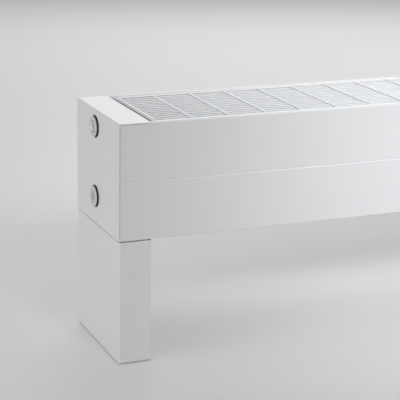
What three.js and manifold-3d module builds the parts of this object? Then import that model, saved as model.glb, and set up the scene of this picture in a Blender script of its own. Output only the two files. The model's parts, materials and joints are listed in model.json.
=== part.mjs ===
// A low floor-standing hot-water convector: a flat-tube heat exchanger inside a
// sheet-steel casing, with a lift-off grille, carried on two box-shaped feet.
// Millimetres, +Z up, X along the length, front towards -Y, floor at z = 0.

import * as THREE from "three";
import { mergeVertices } from "three/addons/utils/BufferGeometryUtils.js";
import Module from "manifold-3d";

const wasm = await Module();
wasm.setup();

// ---- Driving dimensions -------------------------------------------------

const LENGTH = 1200; // casing, end to end
const DEPTH = 155; // casing, front to back
const BODY_HEIGHT = 142; // casing, underside to top
const CLEARANCE = 154; // floor to underside of the casing
const SHEET = 1.25; // casing sheet thickness
const EDGE_RADIUS = 1.8; // outside radius of the casing's folds
const GAP = 0.3; // gap between neighbouring pieces
const ARC_STEPS = 4; // segments in a quarter bend

const LEFT = -LENGTH / 2;
const FRONT = -DEPTH / 2;
const BACK = DEPTH / 2;
const BODY_BASE = CLEARANCE;
const BODY_TOP = CLEARANCE + BODY_HEIGHT;

// Casing
const TOP_RETURN = 6; // fold of a panel over the top edge
const BASE_RETURN = 10; // fold of a panel under the bottom edge
const HEM_DROP = 6.5; // how far the top fold turns down again, from the top
const LINE_HEIGHT = BODY_BASE + BODY_HEIGHT / 2; // pressed line on a panel
const LINE_WIDTH = 3.2;
const LINE_DEPTH = 0.9;
const LINE_END = 5.6; // the line stops this far from a panel's end
const SHELF_WIDTH = 39.5; // flat top of an end cap

// Grille
const GRILLE_END = 45; // from the casing's end to the grille's end
const GRILLE_SIDE_GAP = 0.7; // between the grille and a panel's hem
const GRILLE_RIB = 4.2; // width of a cross rib
const GRILLE_BAYS = 23; // openings between the cross ribs
const GRILLE_BORDER = 6.5; // solid strip along the front and the back
const GRILLE_PLATE = 3; // height of the lengthwise bars
const GRILLE_SINK = 0.2; // ribs and borders lie this far below the casing's top
const GRILLE_RAISE = 1.2; // ribs and borders stand this much above the bars
const GRILLE_SLOTS = 7; // long openings across a bay
const GRILLE_BAR = 4.2; // lengthwise bar between two openings
const GRILLE_LIP = 2.5; // downturned edge, below the bars
const GRILLE_LIP_SHEET = 1.2;
const BRACE_X = 200; // the two braces that carry the grille
const BRACE_WIDTH = 16;
const BRACE_HEIGHT = 3;
const BUFFER_HEIGHT = 2; // rubber buffers between the braces and the grille
const BUFFER_WIDTH = 8;

// Heat exchanger
const TUBE_THICKNESS = 11;
const TUBE_WALL = 1.5;
const TUBE_STACK_GAP = 2;
const TUBE_BASE = BODY_BASE + 14;
const TUBE_TOP = BODY_TOP - 13;
const TUBE_HEIGHT = (TUBE_TOP - TUBE_BASE - TUBE_STACK_GAP) / 2;
const ROW_PITCH = 44;
const ROW_OFFSET = 8.5; // the middle row lies this far behind the centre plane
const ROW_NAMES = ["front", "middle", "rear"];
const LEVEL_NAMES = ["lower", "upper"];
const HEADER_WIDTH = 24; // along X
const HEADER_INSET = 11; // from the casing's end to the header
const HEADER_OVERHANG = 2; // beyond the outer rows of tubes
const HEADER_WALL = 2.5;
const HEADER_BASE = BODY_BASE + 12;
const HEADER_TOP = BODY_TOP - 5;
const FIN_PITCH = 27;
const FIN_SHEET = 0.6;
const FIN_WAVES = 40;
const FIN_BASE = BODY_BASE + 14;
const FIN_HEIGHT = 114;
const BRACKET_HEIGHT = 30;
const BRACKET_SHEET = 1.5;
const BRACKET_FOOT = 10;
const BRACKET_RISE = 22; // above the pressed line
const BRACKET_BEYOND_FINS = 12;

// Ports and fittings, for a half-inch pipe thread
const PORT_LOW = BODY_BASE + 34;
const PORT_HIGH = PORT_LOW + 87;
const PORT_BORE = 10.5;
const SOCKET_RADIUS = 13;
const SOCKET_RECESS = 1; // socket face behind the end cap's face
const CAP_HOLE = 13.8;
const PLUG_RADIUS = 12.9;
const PLUG_FLANGE = 1.2;
const PLUG_CHAMFER = 0.4;
const SEAL_THICKNESS = 2.2;
const PLUG_SHANK_RADIUS = 10.1;
const PLUG_SHANK_LENGTH = 9;
const HEX_SOCKET = 11; // across flats
const HEX_SOCKET_DEPTH = 7;
const NOZZLE_RADIUS = 6.3;
const NOZZLE_DEPTH = 3.2;
const SPOUT_RADIUS = 0.8;
const SPOUT_OFFSET = 4.6;
const SCREW_RADIUS = 2.7;
const SCREW_LENGTH = 8;
const SCREW_SLOT = 1;
const PLUG_PROUD = SEAL_THICKNESS + GAP * 2 + PLUG_FLANGE - SOCKET_RECESS;

// Feet
const FOOT_WIDTH = 42;
const FOOT_SHEET = 1.5;
const FOOT_SETBACK = 0.3; // foot cover behind the end cap's face
const FOOT_SHADOW_GAP = 1; // between the casing and a foot cover
const FLOOR_GAP = 1; // between a foot cover and the floor
const PAD_THICKNESS = 2;
const PAD_WIDTH = 32;
const PAD_LENGTH = 36;
const PAD_Y = 45; // middle of a pad, from the centre plane
const BASE_PLATE = 4;
const BASE_PLATE_WIDTH = 36;
const BASE_PLATE_LENGTH = 146;
const FLOOR_HOLE_RADIUS = 4.5;
const FLOOR_HOLE_Y = 66;
const UPRIGHT_LENGTH = 70; // along Y
const UPRIGHT_WIDTH = 30; // along X
const UPRIGHT_SHEET = 3;
const TOP_PLATE = 4;
const TOP_PLATE_LENGTH = 112;
const TOP_PLATE_OVERHANG = 4; // beyond the header, towards the end
const CRADLE_PAD = 4;
const MOUNT_BAR = 6;
const BOLT_RADIUS = 4;
const BOLT_SPACING = 88;
const BOLT_HEAD_RADIUS = 6.5; // over the corners
const BOLT_HEAD_HEIGHT = 5.3;
const COVER_SCREW_Z = 24;
const COVER_SCREW_RADIUS = 2;
const COVER_SCREW_HEAD = 4;
const COVER_SCREW_HEAD_HEIGHT = 1.4;
const BOLT_CLEARANCE = 0.4;

// ---- Colours ------------------------------------------------------------

const paint = { color: 0xe8eaee, roughness: 0.35, metalness: 0 };
const innerPaint = { color: 0xdfe1e4, roughness: 0.5, metalness: 0 };
const nickel = { color: 0xbfc1c2, roughness: 0.3, metalness: 1 };
const zincSteel = { color: 0xa9adb0, roughness: 0.45, metalness: 1 };
const blackRubber = { color: 0x1d1f20, roughness: 0.8, metalness: 0 };
const whitePlastic = { color: 0xe3e4e4, roughness: 0.45, metalness: 0 };
const brass = { color: 0xc2a561, roughness: 0.35, metalness: 1 };

// ---- Making solids ------------------------------------------------------

// A closed three.js geometry as a manifold-3d solid.
function solid(geometry) {
  const bare = geometry.clone();
  bare.deleteAttribute("normal");
  bare.deleteAttribute("uv");
  const merged = mergeVertices(bare, 1e-4);
  return new wasm.Manifold(
    new wasm.Mesh({
      numProp: 3,
      vertProperties: new Float32Array(merged.attributes.position.array),
      triVerts: new Uint32Array(merged.index.array),
    }),
  );
}

// A manifold-3d solid as a three.js geometry.
function geometryOf(body) {
  const mesh = body.getMesh();
  const positions = new Float32Array(mesh.numVert * 3);
  for (let i = 0; i < mesh.numVert; i++) {
    const at = i * mesh.numProp;
    positions.set(mesh.vertProperties.subarray(at, at + 3), i * 3);
  }
  const geometry = new THREE.BufferGeometry();
  geometry.setAttribute("position", new THREE.BufferAttribute(positions, 3));
  geometry.setIndex(new THREE.BufferAttribute(new Uint32Array(mesh.triVerts), 1));
  return geometry;
}

// A box given by its lowest and highest corners.
function block([x0, y0, z0], [x1, y1, z1]) {
  const geometry = new THREE.BoxGeometry(x1 - x0, y1 - y0, z1 - z0);
  return geometry.translate((x0 + x1) / 2, (y0 + y1) / 2, (z0 + z1) / 2);
}

// A cylinder along X, from x0 to x1, centred on (y, z).
function rodX(radius, x0, x1, y, z, sides = 32) {
  const geometry = new THREE.CylinderGeometry(radius, radius, x1 - x0, sides);
  return geometry.rotateZ(-Math.PI / 2).translate((x0 + x1) / 2, y, z);
}

// A cylinder along Z, from z0 to z1, centred on (x, y).
function rodZ(radius, z0, z1, x, y, sides = 24) {
  const geometry = new THREE.CylinderGeometry(radius, radius, z1 - z0, sides);
  return geometry.rotateX(Math.PI / 2).translate(x, y, (z0 + z1) / 2);
}

// A closed outline of [a, b] points, extruded by length.
function prism(points, length, holes = []) {
  const shape = new THREE.Shape(points.map(([a, b]) => new THREE.Vector2(a, b)));
  for (const hole of holes)
    shape.holes.push(new THREE.Path(hole.map(([a, b]) => new THREE.Vector2(a, b))));
  return new THREE.ExtrudeGeometry(shape, { depth: length, bevelEnabled: false });
}

// An outline in (y, z), extruded along X from x0 to x1.
function prismX(points, x0, x1, holes = []) {
  const geometry = prism(points, x1 - x0, holes);
  // (a, b, depth) -> (depth, a, b)
  geometry.applyMatrix4(
    new THREE.Matrix4().set(0, 0, 1, x0, 1, 0, 0, 0, 0, 1, 0, 0, 0, 0, 0, 1),
  );
  return geometry;
}

// An outline in (z, x), extruded along Y from y0 to y1.
function prismY(points, y0, y1) {
  const geometry = prism(points, y1 - y0);
  // (a, b, depth) -> (b, depth, a)
  geometry.applyMatrix4(
    new THREE.Matrix4().set(0, 1, 0, 0, 0, 0, 1, y0, 1, 0, 0, 0, 0, 0, 0, 1),
  );
  return geometry;
}

// An outline in (x, y), extruded along Z from z0 to z1.
function prismZ(points, z0, z1, holes = []) {
  return prism(points, z1 - z0, holes).translate(0, 0, z0);
}

// Points of a quarter arc round (a, b), from one angle to another, in degrees.
function arc(a, b, radius, from, to, steps = ARC_STEPS) {
  const points = [];
  for (let i = 0; i <= steps; i++) {
    const angle = THREE.MathUtils.degToRad(from + ((to - from) * i) / steps);
    points.push([a + radius * Math.cos(angle), b + radius * Math.sin(angle)]);
  }
  return points;
}

// A rectangle with rounded corners, anticlockwise.
function roundedRectangle(a0, b0, a1, b1, radius, steps = ARC_STEPS) {
  return [
    ...arc(a1 - radius, b0 + radius, radius, -90, 0, steps),
    ...arc(a1 - radius, b1 - radius, radius, 0, 90, steps),
    ...arc(a0 + radius, b1 - radius, radius, 90, 180, steps),
    ...arc(a0 + radius, b0 + radius, radius, 180, 270, steps),
  ];
}

// ---- Scene graph --------------------------------------------------------

// The plugs stand out of the left end only. The casing is set to the right by
// half of that, so the origin stays under the middle of the whole object.
const convector = new THREE.Group();
convector.position.x = PLUG_PROUD / 2;

function add(name, shape, look) {
  const geometry = shape.isBufferGeometry ? shape : geometryOf(shape);
  const mesh = new THREE.Mesh(geometry, new THREE.MeshStandardMaterial(look));
  mesh.name = name;
  convector.add(mesh);
}

// One piece at the left end, and its mirror image at the right end.
function addPair(name, body, look) {
  add(name + "_left", body, look);
  add(name + "_right", body.mirror([1, 0, 0]), look);
}

// ---- Casing -------------------------------------------------------------

// A panel: one sheet folded over the top edge, turned down again as a hem, and
// folded in along the bottom, with a pressed line at mid height.
function frontPanel() {
  const r = EDGE_RADIUS;
  const hem = FRONT + TOP_RETURN;
  const outline = [
    [FRONT + BASE_RETURN, BODY_BASE],
    [FRONT + BASE_RETURN, BODY_BASE + SHEET],
    ...arc(FRONT + r, BODY_BASE + r, r - SHEET, 270, 180),
    ...arc(FRONT + r, BODY_TOP - r, r - SHEET, 180, 90),
    [hem - SHEET, BODY_TOP - SHEET],
    [hem - SHEET, BODY_TOP - HEM_DROP],
    [hem, BODY_TOP - HEM_DROP],
    [hem, BODY_TOP],
    ...arc(FRONT + r, BODY_TOP - r, r, 90, 180),
    ...arc(FRONT + r, BODY_BASE + r, r, 180, 270),
  ];
  const x0 = LEFT + SHEET + GAP;
  const lineX = LEFT + LINE_END;
  const groove = [
    [FRONT - 1, LINE_HEIGHT - LINE_WIDTH / 2],
    [FRONT, LINE_HEIGHT - LINE_WIDTH / 2],
    [FRONT + LINE_DEPTH, LINE_HEIGHT - LINE_WIDTH / 6],
    [FRONT + LINE_DEPTH, LINE_HEIGHT + LINE_WIDTH / 6],
    [FRONT, LINE_HEIGHT + LINE_WIDTH / 2],
    [FRONT - 1, LINE_HEIGHT + LINE_WIDTH / 2],
  ];
  const ridge = block(
    [lineX, FRONT + SHEET / 2, LINE_HEIGHT - LINE_WIDTH / 2],
    [-lineX, FRONT + SHEET + LINE_DEPTH, LINE_HEIGHT + LINE_WIDTH / 2],
  );
  // The end caps' flat tops lie over the panel, so its top is cut back there.
  const shelfEnd = LEFT + SHELF_WIDTH + GAP;
  const shelfRoom = block(
    [LEFT, FRONT - 1, BODY_TOP - SHEET - GAP],
    [shelfEnd, hem + 1, BODY_TOP + 1],
  );
  const room = solid(shelfRoom);
  return solid(prismX(outline, x0, -x0))
    .add(solid(ridge))
    .subtract(solid(prismX(groove, lineX, -lineX)))
    .subtract(room)
    .subtract(room.mirror([1, 0, 0]));
}

const panel = frontPanel();
add("front_panel", panel, paint);
add("back_panel", panel.mirror([0, 1, 0]), paint);

// An end cap: the side and the flat top in one folded sheet, with a hole round
// each port.
function endCap() {
  const r = EDGE_RADIUS;
  const outline = [
    [BODY_BASE, LEFT],
    [BODY_BASE, LEFT + SHEET],
    ...arc(BODY_TOP - r, LEFT + r, r - SHEET, 270, 360),
    [BODY_TOP - SHEET, LEFT + SHELF_WIDTH],
    [BODY_TOP, LEFT + SHELF_WIDTH],
    ...arc(BODY_TOP - r, LEFT + r, r, 360, 270),
  ];
  let cap = solid(prismY(outline, FRONT, BACK));
  for (const z of [PORT_LOW, PORT_HIGH])
    cap = cap.subtract(solid(rodX(CAP_HOLE, LEFT - 1, LEFT + SHEET + 1, ROW_OFFSET, z)));
  return cap;
}

addPair("end_cap", endCap(), paint);

// ---- Grille -------------------------------------------------------------

const GRILLE_X = -LEFT - GRILLE_END;
const GRILLE_Y = BACK - TOP_RETURN - GRILLE_SIDE_GAP;
const GRILLE_TOP = BODY_TOP - GRILLE_SINK;
const FIELD_TOP = GRILLE_TOP - GRILLE_RAISE;
const FIELD_UNDER = FIELD_TOP - GRILLE_PLATE;
const LIP_UNDER = FIELD_UNDER - GRILLE_LIP;

// A field with long openings between raised cross ribs and borders, and a
// downturned lip all round.
function grille() {
  const lip = GRILLE_LIP_SHEET;
  const innerY = GRILLE_Y - GRILLE_BORDER;
  const slotPitch = (2 * innerY + GRILLE_BAR) / GRILLE_SLOTS;
  const ribPitch = (2 * GRILLE_X - GRILLE_RIB) / GRILLE_BAYS;
  const blank = block([-GRILLE_X, -GRILLE_Y, LIP_UNDER], [GRILLE_X, GRILLE_Y, GRILLE_TOP]);
  const hollow = block(
    [lip - GRILLE_X, lip - GRILLE_Y, LIP_UNDER - 1],
    [GRILLE_X - lip, GRILLE_Y - lip, FIELD_UNDER],
  );
  let body = solid(blank).subtract(solid(hollow));
  for (let bay = 0; bay < GRILLE_BAYS; bay++) {
    const x0 = -GRILLE_X + GRILLE_RIB + bay * ribPitch;
    const x1 = x0 + ribPitch - GRILLE_RIB;
    body = body.subtract(solid(block([x0, -innerY, FIELD_TOP], [x1, innerY, BODY_TOP])));
    for (let i = 0; i < GRILLE_SLOTS; i++) {
      const y0 = -innerY + i * slotPitch;
      const y1 = y0 + slotPitch - GRILLE_BAR;
      body = body.subtract(solid(block([x0, y0, FIELD_UNDER - 1], [x1, y1, FIELD_TOP + 1])));
    }
  }
  return body;
}

add("grille", grille(), paint);

// Two braces tie the panels together and carry the grille on rubber buffers.
const BUFFER_TOP = LIP_UNDER - GAP;
const BRACE_TOP = BUFFER_TOP - BUFFER_HEIGHT - GAP;
const BRACE_Y = BACK - SHEET - GAP;

addPair(
  "brace",
  solid(
    block(
      [-BRACE_X - BRACE_WIDTH / 2, -BRACE_Y, BRACE_TOP - BRACE_HEIGHT],
      [-BRACE_X + BRACE_WIDTH / 2, BRACE_Y, BRACE_TOP],
    ),
  ),
  innerPaint,
);

const buffer = solid(
  block(
    [-BRACE_X - BUFFER_WIDTH / 2, -GRILLE_Y, BUFFER_TOP - BUFFER_HEIGHT],
    [-BRACE_X + BUFFER_WIDTH / 2, -GRILLE_Y + BUFFER_WIDTH, BUFFER_TOP],
  ),
);
addPair("grille_buffer_front", buffer, blackRubber);
addPair("grille_buffer_rear", buffer.mirror([0, 1, 0]), blackRubber);

// ---- Heat exchanger -----------------------------------------------------

const rowY = (row) => ROW_OFFSET + (row - 1) * ROW_PITCH;
const levelBase = (level) => TUBE_BASE + level * (TUBE_HEIGHT + TUBE_STACK_GAP);
const HALF_TUBE = TUBE_THICKNESS / 2;
const HEADER_X0 = LEFT + HEADER_INSET;
const HEADER_X1 = HEADER_X0 + HEADER_WIDTH;
const HEADER_Y0 = rowY(0) - HALF_TUBE - HEADER_OVERHANG;
const HEADER_Y1 = rowY(2) + HALF_TUBE + HEADER_OVERHANG;

// A flat water tube, open at both ends where it meets the headers.
function flatTube(y, z) {
  const corner = HALF_TUBE - 0.5;
  const w = TUBE_WALL;
  const outside = roundedRectangle(y - HALF_TUBE, z, y + HALF_TUBE, z + TUBE_HEIGHT, corner);
  const bore = roundedRectangle(
    y - HALF_TUBE + w,
    z + w,
    y + HALF_TUBE - w,
    z + TUBE_HEIGHT - w,
    corner - w,
  );
  return prismX(outside, HEADER_X1 + GAP, -HEADER_X1 - GAP, [bore]);
}

ROW_NAMES.forEach((row, r) => {
  LEVEL_NAMES.forEach((level, l) => {
    add(`tube_${row}_${level}`, flatTube(rowY(r), levelBase(l)), innerPaint);
  });
});

// A header: the box that joins the tubes at one end, with a port high and low
// on its outer side and a slot for each tube on its inner side.
function header() {
  const w = HEADER_WALL;
  const outside = block([HEADER_X0, HEADER_Y0, HEADER_BASE], [HEADER_X1, HEADER_Y1, HEADER_TOP]);
  const inside = block(
    [HEADER_X0 + w, HEADER_Y0 + w, HEADER_BASE + w],
    [HEADER_X1 - w, HEADER_Y1 - w, HEADER_TOP - w],
  );
  let box = solid(outside).subtract(solid(inside));
  for (const z of [PORT_LOW, PORT_HIGH])
    box = box.subtract(solid(rodX(PORT_BORE, HEADER_X0 - 1, HEADER_X0 + w + 1, ROW_OFFSET, z)));
  const slotY = HALF_TUBE - TUBE_WALL;
  for (const row of ROW_NAMES.keys())
    for (const level of LEVEL_NAMES.keys()) {
      const z0 = levelBase(level) + HALF_TUBE;
      const z1 = levelBase(level) + TUBE_HEIGHT - HALF_TUBE;
      const y = rowY(row);
      const slot = block([HEADER_X1 - w - 1, y - slotY, z0], [HEADER_X1 + 1, y + slotY, z1]);
      box = box.subtract(solid(slot));
    }
  return box;
}

addPair("header", header(), innerPaint);

// Threaded sockets welded to the headers, reaching into the end caps' holes.
function socket(z) {
  const x0 = LEFT + SOCKET_RECESS;
  const x1 = HEADER_X0 - GAP;
  const bore = solid(rodX(PORT_BORE, x0 - 1, x1 + 1, ROW_OFFSET, z));
  return solid(rodX(SOCKET_RADIUS, x0, x1, ROW_OFFSET, z)).subtract(bore);
}

addPair("socket_lower", socket(PORT_LOW), zincSteel);
addPair("socket_upper", socket(PORT_HIGH), zincSteel);

// Convector fins: a sheet folded into a square wave in plan, standing on edge
// in front of a row of tubes.
function finPack(row) {
  const y1 = rowY(row) - HALF_TUBE - GAP;
  const y0 = y1 - (ROW_PITCH - TUBE_THICKNESS - 2 * GAP);
  const t = FIN_SHEET;
  const half = FIN_PITCH / 2;
  const near = [];
  const far = [];
  for (let i = 0; i < FIN_WAVES; i++) {
    const x = (i - FIN_WAVES / 2) * FIN_PITCH;
    near.push([x, y0], [x + half + t, y0], [x + half + t, y1 - t], [x + FIN_PITCH, y1 - t]);
    far.push([x + t, y0 + t], [x + half, y0 + t], [x + half, y1], [x + FIN_PITCH + t, y1]);
  }
  return prismZ([...near, ...far.reverse()], FIN_BASE, FIN_BASE + FIN_HEIGHT);
}

ROW_NAMES.forEach((row, r) => add(`fins_${row}`, finPack(r), zincSteel));

// A bracket holds a panel off the outer tubes: a web with a foot at each end.
function panelBracket(near, far) {
  const x = -(FIN_WAVES * FIN_PITCH) / 2 - BRACKET_BEYOND_FINS;
  const z = LINE_HEIGHT + BRACKET_RISE;
  const plate = (width, y0, y1) =>
    solid(block([x - width / 2, y0, z], [x + width / 2, y1, z + BRACKET_HEIGHT]));
  return plate(BRACKET_SHEET, near, far)
    .add(plate(BRACKET_FOOT, near, near + BRACKET_SHEET))
    .add(plate(BRACKET_FOOT, far - BRACKET_SHEET, far));
}

const panelInside = BACK - SHEET - GAP;
addPair(
  "panel_bracket_front",
  panelBracket(-panelInside, rowY(0) - HALF_TUBE - GAP),
  zincSteel,
);
addPair(
  "panel_bracket_rear",
  panelBracket(rowY(2) + HALF_TUBE + GAP, panelInside),
  zincSteel,
);

// ---- Vent plug, blind plug and their seals ------------------------------

const SEAL_INNER = LEFT + SOCKET_RECESS - GAP;
const FLANGE_INNER = SEAL_INNER - SEAL_THICKNESS - GAP;
const FLANGE_FACE = FLANGE_INNER - PLUG_FLANGE;

// A plug turned from bar: a chamfered flange on a plain shank.
function plugBlank(z) {
  const shank = PLUG_SHANK_LENGTH + SEAL_THICKNESS;
  const profile = [
    [0, 0],
    [PLUG_SHANK_RADIUS, 0],
    [PLUG_SHANK_RADIUS, shank],
    [PLUG_RADIUS, shank],
    [PLUG_RADIUS, shank + PLUG_FLANGE - PLUG_CHAMFER],
    [PLUG_RADIUS - PLUG_CHAMFER, shank + PLUG_FLANGE],
    [0, shank + PLUG_FLANGE],
  ].map(([radius, height]) => new THREE.Vector2(radius, height));
  const turned = new THREE.LatheGeometry(profile, 40);
  turned.rotateZ(Math.PI / 2).translate(FLANGE_INNER + shank, ROW_OFFSET, z);
  return solid(turned);
}

function seal(z) {
  const x0 = SEAL_INNER - SEAL_THICKNESS;
  const hole = solid(rodX(PLUG_SHANK_RADIUS + GAP, x0 - 1, SEAL_INNER + 1, ROW_OFFSET, z));
  return solid(rodX(PLUG_RADIUS - GAP, x0, SEAL_INNER, ROW_OFFSET, z)).subtract(hole);
}

// The vent plug holds a turning nozzle, with the bleed screw in its middle.
const ventRod = (radius, from, to, sides = 32) =>
  solid(rodX(radius, FLANGE_FACE + from, FLANGE_FACE + to, ROW_OFFSET, PORT_HIGH, sides));
const nozzleRoom = ventRod(NOZZLE_RADIUS + GAP, -1, NOZZLE_DEPTH + GAP);
const screwRoom = ventRod(SCREW_RADIUS + GAP, -1, PLUG_SHANK_LENGTH * 2, 24);
add("vent_plug", plugBlank(PORT_HIGH).subtract(nozzleRoom).subtract(screwRoom), nickel);
add("vent_plug_seal", seal(PORT_HIGH), blackRubber);

const spout = rodX(
  SPOUT_RADIUS,
  FLANGE_FACE - 1,
  FLANGE_FACE + NOZZLE_DEPTH / 2,
  ROW_OFFSET,
  PORT_HIGH - SPOUT_OFFSET,
  12,
);
const nozzle = ventRod(NOZZLE_RADIUS, GAP, NOZZLE_DEPTH);
add("vent_nozzle", nozzle.subtract(screwRoom).subtract(solid(spout)), whitePlastic);

const screwSlot = block(
  [FLANGE_FACE - 1, ROW_OFFSET - SCREW_RADIUS - 1, PORT_HIGH - SCREW_SLOT / 2],
  [FLANGE_FACE + SCREW_SLOT + GAP, ROW_OFFSET + SCREW_RADIUS + 1, PORT_HIGH + SCREW_SLOT / 2],
);
const screw = ventRod(SCREW_RADIUS, GAP, SCREW_LENGTH, 24);
add("bleed_screw", screw.subtract(solid(screwSlot)), brass);

// The blind plug has a hexagonal key socket.
const hexSocket = rodX(
  HEX_SOCKET / Math.sqrt(3),
  FLANGE_FACE - 1,
  FLANGE_FACE + HEX_SOCKET_DEPTH,
  ROW_OFFSET,
  PORT_LOW,
  6,
);
add("blind_plug", plugBlank(PORT_LOW).subtract(solid(hexSocket)), nickel);
add("blind_plug_seal", seal(PORT_LOW), blackRubber);

// ---- Feet ---------------------------------------------------------------

const FOOT_X0 = LEFT + FOOT_SETBACK;
const FOOT_X1 = FOOT_X0 + FOOT_WIDTH;
const FOOT_MID = (FOOT_X0 + FOOT_X1) / 2;
const FOOT_TOP = BODY_BASE - FOOT_SHADOW_GAP;
const INSIDE_X1 = FOOT_X1 - FOOT_SHEET - GAP; // inner pieces stop short of the cover
const HEADER_MID_X = (HEADER_X0 + HEADER_X1) / 2;
const HEADER_MID_Y = (HEADER_Y0 + HEADER_Y1) / 2;
const PLATE_Z0 = PAD_THICKNESS + GAP;
const PLATE_Z1 = PLATE_Z0 + BASE_PLATE;
const MOUNT_BAR_TOP = HEADER_BASE - GAP;
const CRADLE_TOP = MOUNT_BAR_TOP - MOUNT_BAR - GAP;
const TOP_PLATE_Z1 = CRADLE_TOP - CRADLE_PAD - GAP;
const TOP_PLATE_Z0 = TOP_PLATE_Z1 - TOP_PLATE;

// The cover: a rectangular sleeve with rounded corners, open above and below,
// held to the upright by one screw on its inner side.
function footCover() {
  const outside = roundedRectangle(FOOT_X0, FRONT, FOOT_X1, BACK, EDGE_RADIUS);
  const inside = roundedRectangle(
    FOOT_X0 + FOOT_SHEET,
    FRONT + FOOT_SHEET,
    FOOT_X1 - FOOT_SHEET,
    BACK - FOOT_SHEET,
    EDGE_RADIUS - FOOT_SHEET,
  );
  return solid(prismZ(outside, FLOOR_GAP, FOOT_TOP, [inside]));
}

const coverScrewHole = solid(
  rodX(COVER_SCREW_RADIUS + GAP, FOOT_MID, FOOT_X1 + 1, HEADER_MID_Y, COVER_SCREW_Z, 16),
);
addPair("foot_cover", footCover().subtract(coverScrewHole), paint);

// The upright: a channel standing on the base plate, open towards the end.
function upright() {
  const y0 = HEADER_MID_Y - UPRIGHT_LENGTH / 2;
  const y1 = HEADER_MID_Y + UPRIGHT_LENGTH / 2;
  const x0 = INSIDE_X1 - UPRIGHT_WIDTH;
  const outside = block([x0, y0, PLATE_Z1 + GAP], [INSIDE_X1, y1, TOP_PLATE_Z0 - GAP]);
  const inside = block(
    [x0 - 1, y0 + UPRIGHT_SHEET, 0],
    [INSIDE_X1 - UPRIGHT_SHEET, y1 - UPRIGHT_SHEET, BODY_BASE],
  );
  return solid(outside).subtract(solid(inside)).subtract(coverScrewHole);
}

addPair("foot_upright", upright(), zincSteel);

const coverScrewRod = (radius, x0, x1, sides) =>
  solid(rodX(radius, x0, x1, HEADER_MID_Y, COVER_SCREW_Z, sides));
const screwHeadX = FOOT_X1 + GAP;
const coverScrewSlot = block(
  [screwHeadX + COVER_SCREW_HEAD_HEIGHT / 2, HEADER_MID_Y - COVER_SCREW_HEAD - 1, COVER_SCREW_Z - 0.5],
  [screwHeadX + COVER_SCREW_HEAD_HEIGHT + 1, HEADER_MID_Y + COVER_SCREW_HEAD + 1, COVER_SCREW_Z + 0.5],
);
addPair(
  "cover_screw",
  coverScrewRod(COVER_SCREW_HEAD, screwHeadX, screwHeadX + COVER_SCREW_HEAD_HEIGHT, 24)
    .add(coverScrewRod(COVER_SCREW_RADIUS, INSIDE_X1 - 6, screwHeadX + 0.5, 16))
    .subtract(solid(coverScrewSlot)),
  zincSteel,
);

// The base plate stands on two rubber pads and has a hole for a floor bolt at
// each end.
function basePlate() {
  const plate = block(
    [FOOT_MID - BASE_PLATE_WIDTH / 2, -BASE_PLATE_LENGTH / 2, PLATE_Z0],
    [FOOT_MID + BASE_PLATE_WIDTH / 2, BASE_PLATE_LENGTH / 2, PLATE_Z1],
  );
  const hole = solid(rodZ(FLOOR_HOLE_RADIUS, 0, PLATE_Z1 + 1, FOOT_MID, FLOOR_HOLE_Y));
  return solid(plate).subtract(hole).subtract(hole.mirror([0, 1, 0]));
}

addPair("foot_base_plate", basePlate(), zincSteel);

const rearPad = solid(
  block(
    [FOOT_MID - PAD_WIDTH / 2, PAD_Y - PAD_LENGTH / 2, 0],
    [FOOT_MID + PAD_WIDTH / 2, PAD_Y + PAD_LENGTH / 2, PAD_THICKNESS],
  ),
);
addPair("floor_pad_front", rearPad.mirror([0, 1, 0]), blackRubber);
addPair("floor_pad_rear", rearPad, blackRubber);

// Three bolted layers carry the header: the upright's top plate, a plastic
// cradle pad and the bar welded under the header.
const boltRows = { front: HEADER_MID_Y - BOLT_SPACING / 2, rear: HEADER_MID_Y + BOLT_SPACING / 2 };

function drilledPlate([x0, y0, z0], [x1, y1, z1]) {
  let plate = solid(block([x0, y0, z0], [x1, y1, z1]));
  for (const y of Object.values(boltRows)) {
    const hole = rodZ(BOLT_RADIUS + BOLT_CLEARANCE, z0 - 1, z1 + 1, HEADER_MID_X, y);
    plate = plate.subtract(solid(hole));
  }
  return plate;
}

const topPlateY = TOP_PLATE_LENGTH / 2;
addPair(
  "foot_top_plate",
  drilledPlate(
    [HEADER_X0 - TOP_PLATE_OVERHANG, HEADER_MID_Y - topPlateY, TOP_PLATE_Z0],
    [INSIDE_X1, HEADER_MID_Y + topPlateY, TOP_PLATE_Z1],
  ),
  zincSteel,
);
addPair(
  "cradle_pad",
  drilledPlate(
    [HEADER_X0, HEADER_Y0, CRADLE_TOP - CRADLE_PAD],
    [HEADER_X1, HEADER_Y1, CRADLE_TOP],
  ),
  whitePlastic,
);
addPair(
  "mount_bar",
  drilledPlate(
    [HEADER_X0, HEADER_Y0, MOUNT_BAR_TOP - MOUNT_BAR],
    [HEADER_X1, HEADER_Y1, MOUNT_BAR_TOP],
  ),
  zincSteel,
);

for (const [row, y] of Object.entries(boltRows)) {
  const under = TOP_PLATE_Z0 - GAP;
  const head = rodZ(BOLT_HEAD_RADIUS, under - BOLT_HEAD_HEIGHT, under, HEADER_MID_X, y, 6);
  const shank = rodZ(BOLT_RADIUS, under - 1, MOUNT_BAR_TOP - 1, HEADER_MID_X, y, 20);
  addPair(`foot_bolt_${row}`, solid(head).add(solid(shank)), zincSteel);
}

export default convector;
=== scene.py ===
import json
import math

import bmesh
import bpy
from mathutils import Matrix, Vector


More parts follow.
